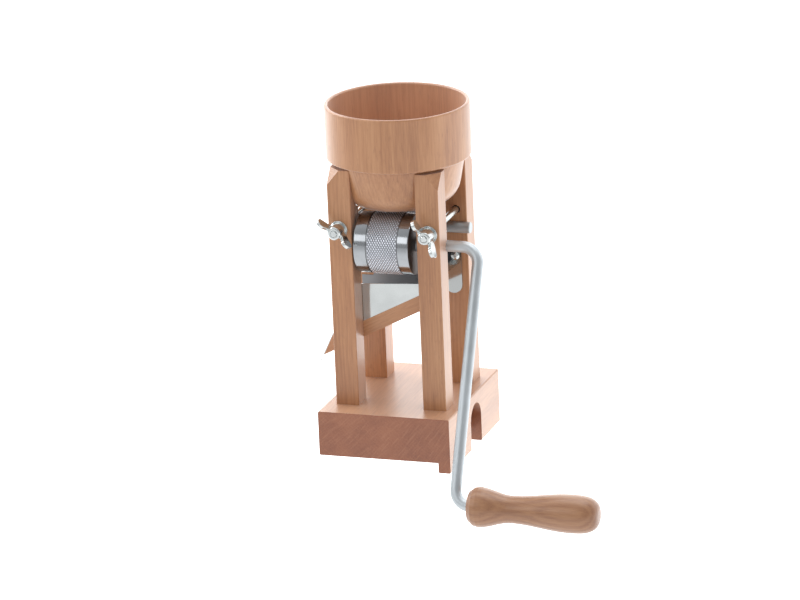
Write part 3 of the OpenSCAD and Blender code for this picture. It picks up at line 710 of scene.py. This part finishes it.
def bolt_rings(start, end):
    """Rings from the thread's end to the dome: distance in mm and a radius for each side."""
    rings = []
    rows = round(THREAD_LEN / THREAD_PITCH * ROWS_PER_TURN)
    for row in range(rows + 1):
        y = start + row * THREAD_LEN / rows
        rings.append((y, [thread_radius(y, i / BOLT_SIDES, start) for i in range(BOLT_SIDES)]))
    rings.append((end - BOLT_HEAD_H, [BOLT_R] * BOLT_SIDES))
    dome_r = (BOLT_HEAD_R ** 2 + BOLT_HEAD_H ** 2) / (2 * BOLT_HEAD_H)
    widest = math.asin(BOLT_HEAD_R / dome_r)
    for step in range(DOME_STEPS):
        angle = widest * (1 - step / DOME_STEPS)
        y = end - dome_r * (1 - math.cos(angle))
        rings.append((y, [dome_r * math.sin(angle)] * BOLT_SIDES))
    return rings


def add_bolt_skin(bm, lo, hi, x, z):
    """The closed skin of the bolt, from its thread's flat end to the top of its dome."""
    loops = []
    for y, radii in bolt_rings(lo.y / MM, hi.y / MM):
        loops.append([bm.verts.new((x + r * MM * math.cos(math.tau * i / BOLT_SIDES), y * MM,
                                    z + r * MM * math.sin(math.tau * i / BOLT_SIDES)))
                      for i, r in enumerate(radii)])
    for first, second in zip(loops, loops[1:]):
        for i in range(BOLT_SIDES):
            j = (i + 1) % BOLT_SIDES
            bm.faces.new((first[i], first[j], second[j], second[i]))
    bm.faces.new(loops[0])
    tip = bm.verts.new((x, hi.y, z))
    for i in range(BOLT_SIDES):
        bm.faces.new((loops[-1][i], loops[-1][(i + 1) % BOLT_SIDES], tip))


def make_bolt(node):
    lo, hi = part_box(node)
    x, z = (lo.x + hi.x) / 2, (lo.z + hi.z) / 2
    bm = bmesh.new()
    add_bolt_skin(bm, lo, hi, x, z)
    neck_y = hi.y - (BOLT_HEAD_H + NECK_DEPTH / 2) * MM
    neck = Matrix.Translation((x, neck_y, z)) @ Matrix.Diagonal(
        (NECK_W * MM, NECK_DEPTH * MM, NECK_W * MM, 1.0))
    bmesh.ops.create_cube(bm, size=1.0, matrix=neck)
    bmesh.ops.recalc_face_normals(bm, faces=bm.faces)
    for face in bm.faces:
        face.smooth = True
    mesh = bpy.data.meshes.new(node + "_threaded")
    bm.to_mesh(mesh)
    bm.free()
    mesh.set_sharp_from_angle(angle=SHARP)
    add_piece(node + "_threaded", mesh, "frame", MATERIALS["zinc"], node)


make_bolt("tie_bolt_left")
make_bolt("tie_bolt_right")


# Screws: each CAD screw with a cross recess cut into its head. Sizes are in mm
RECESS_ARM = 2.1
RECESS_HALF = 0.45
RECESS_DEEP = 1.5
RECESS_ABOVE = 0.4
BOTTOM_ARM_SHARE, BOTTOM_HALF_SHARE = 0.45, 0.6
# The way each group's heads face, and the recess's scale
SCREWS = {
    "leg_screws": ((0, 0, -1), 1.3),
    "rail_screws": ((0, 1, 0), 1.0),
    "chute_screws": ((0, -1, 0), 1.0),
}


def shells(mesh):
    """The lowest and highest corner of each separate shell of a mesh."""
    bm = bmesh.new()
    bm.from_mesh(mesh)
    bmesh.ops.remove_doubles(bm, verts=bm.verts, dist=SAME_PLACE)
    left, parts = set(bm.verts), []
    while left:
        seed = left.pop()
        group, queue = [seed], [seed]
        while queue:
            for edge in queue.pop().link_edges:
                for vert in edge.verts:
                    if vert in left:
                        left.discard(vert)
                        group.append(vert)
                        queue.append(vert)
        spots = [vert.co for vert in group]
        parts.append((Vector([min(s[i] for s in spots) for i in range(3)]),
                      Vector([max(s[i] for s in spots) for i in range(3)])))
    bm.free()
    return sorted(parts, key=lambda part: (round(part[0].x, SORT_DIGITS), round(part[0].y, SORT_DIGITS)))


def add_wedge(bm, head, out, long_way, short_way, scale):
    """One slot of a recess, from above the head to its narrower bottom."""
    ends = ((RECESS_ABOVE, RECESS_ARM, RECESS_HALF),
            (-RECESS_DEEP, BOTTOM_ARM_SHARE * RECESS_ARM, BOTTOM_HALF_SHARE * RECESS_HALF))
    corners = []
    for depth, arm, half in ends:
        for a, b in CORNERS:
            spot = head + (out * depth + long_way * a * arm + short_way * b * half) * scale * MM
            corners.append(bm.verts.new(spot))
    bm.faces.new(corners[:4])
    bm.faces.new(corners[4:])
    for i in range(4):
        j = (i + 1) % 4
        bm.faces.new((corners[i], corners[j], corners[4 + j], corners[4 + i]))


def recess_cutter(parts, outward, scale):
    """Two crossed wedges at each head."""
    bm = bmesh.new()
    out = Vector(outward)
    side = Vector((1, 0, 0))
    up = out.cross(side)
    for lo, hi in parts:
        centre = (lo + hi) / 2
        head = Vector([hi[i] if out[i] > 0 else lo[i] if out[i] < 0 else centre[i] for i in range(3)])
        add_wedge(bm, head, out, side, up, scale)
        add_wedge(bm, head, out, up, side, scale)
    bmesh.ops.recalc_face_normals(bm, faces=bm.faces)
    mesh = bpy.data.meshes.new("recess")
    bm.to_mesh(mesh)
    bm.free()
    return mesh


def welded_copy(source):
    mesh = source.copy()
    bm = bmesh.new()
    bm.from_mesh(mesh)
    bmesh.ops.remove_doubles(bm, verts=bm.verts, dist=SAME_PLACE)
    bm.to_mesh(mesh)
    bm.free()
    return mesh


def cut_out(mesh, cutter_mesh):
    """A new mesh: the first one with the second taken out of it."""
    body = bpy.data.objects.new("uncut", mesh)
    cutter = bpy.data.objects.new("cutter", cutter_mesh)
    for item in (body, cutter):
        scene.collection.objects.link(item)
    cut = body.modifiers.new("recess", "BOOLEAN")
    cut.operation = "DIFFERENCE"
    cut.solver = "EXACT"
    cut.use_self = True
    cut.object = cutter
    done = bpy.data.meshes.new_from_object(body.evaluated_get(bpy.context.evaluated_depsgraph_get()))
    for item in (body, cutter):
        bpy.data.objects.remove(item)
    return done


def make_screws(node, outward, scale):
    source = nodes[node].data
    mesh = cut_out(welded_copy(source), recess_cutter(shells(source), outward, scale))
    mesh.name = node + "_crossed"
    mesh.set_sharp_from_angle(angle=SHARP)
    add_piece(node + "_crossed", mesh, "frame", MATERIALS["zinc"], node)


for screw_node, (screw_out, screw_scale) in SCREWS.items():
    make_screws(screw_node, screw_out, screw_scale)


# Stage: a pale floor well below the part, which a clamp would hold over a table's edge
FLOOR_Z = -0.16
FLOOR_HALF = 15.0
FLOOR_PAINT = (0.28, 0.28, 0.28, 1.0)
WHITE = (1.0, 1.0, 1.0, 1.0)
# The floor's own glow along a run that starts a metre before the origin and ends three metres past it
TO_BACK = (0.15, 0.99, 0.0)
GLOW_FROM, GLOW_REACH = -1.0, 4.0
FLOOR_BRIGHTEST = 1.75
FLOOR_GLOW = [(0.15, 0.85), (0.25, 1.0), (0.33, FLOOR_BRIGHTEST), (0.45, FLOOR_BRIGHTEST), (0.62, 1.15)]
# The floor is dimmer to the front left, in full from this distance on
TO_BACK_RIGHT = (0.81, 0.58, 0.0)
DIM_DISTANCE = 1.20
DIM_STEEPNESS = 1.5
DIM_SHARE = 0.60


def floor_material():
    material, shader = new_material("floor", Base_Color=FLOOR_PAINT, Emission_Color=WHITE, Roughness=0.9,
                                    Specular_IOR_Level=0.1)
    g = Graph(material)
    backward = g.beyond(TO_BACK, GLOW_FROM, 1.0 / GLOW_REACH)
    glow = g.ramp(backward, [(place, glow / FLOOR_BRIGHTEST) for place, glow in FLOOR_GLOW])
    undimmed = g.beyond(TO_BACK_RIGHT, -DIM_DISTANCE, DIM_STEEPNESS)
    share = g.math("MULTIPLY_ADD", undimmed, 1.0 - DIM_SHARE, DIM_SHARE)
    strength = g.math("MULTIPLY", g.math("MULTIPLY", glow, FLOOR_BRIGHTEST), share)
    g.wire(strength, shader, "Emission Strength")
    return material


def make_floor():
    mesh = bpy.data.meshes.new("floor")
    corners = [(sx * FLOOR_HALF, sy * FLOOR_HALF, FLOOR_Z) for sx, sy in CORNERS]
    mesh.from_pydata(corners, [], [(0, 1, 2, 3)])
    mesh.materials.append(floor_material())
    floor = bpy.data.objects.new("floor", mesh)
    scene.collection.objects.link(floor)


# Area lights: place, target, and width and height in metres, then watts
LIGHTS = {
    "right": ((1.6, 1.2, 1.1), (0.0, 0.0, 0.12), (1.4, 1.4), 6.0),
    "left": ((-1.8, 0.4, 1.3), (0.0, 0.0, 0.2), (1.4, 1.4), 26.0),
    "top": ((0.1, 0.3, 2.2), (0.0, 0.0, 0.15), (1.9, 1.5), 18.0),
    "front": ((-1.25, -1.95, 1.34), (0.0, 0.0, 0.18), (2.1, 1.0), 9.5),
}


def area_light(name, place, target, size, watts):
    data = bpy.data.lights.new(name, "AREA")
    data.shape = "RECTANGLE"
    data.size, data.size_y = size
    data.energy = watts
    light = bpy.data.objects.new(name, data)
    light.location = place
    aim = Vector(target) - Vector(place)
    light.rotation_euler = aim.to_track_quat("-Z", "Y").to_euler()
    scene.collection.objects.link(light)


# A studio that is bright behind the part and dim behind the camera; stops run from dim to bright
TOWARDS_BRIGHT = (-0.25, 0.96, 0.10)
STUDIO = [(0.05, 0.46), (0.50, 0.70), (0.84, 1.15), (0.95, 2.4)]


def make_world():
    world = bpy.data.worlds.new("studio")
    scene.world = world
    world.use_nodes = True
    g = Graph(world, "Generated")
    # A direction from dead against the bright side to dead towards it becomes 0 to 1
    facing = g.beyond(TOWARDS_BRIGHT, -1.0, 0.5)
    g.wire(g.ramp(facing, STUDIO), world.node_tree.nodes["Background"], "Color")


make_floor()
make_world()
for light_name, light_values in LIGHTS.items():
    area_light(light_name, *light_values)
scene.view_settings.view_transform = "Standard"
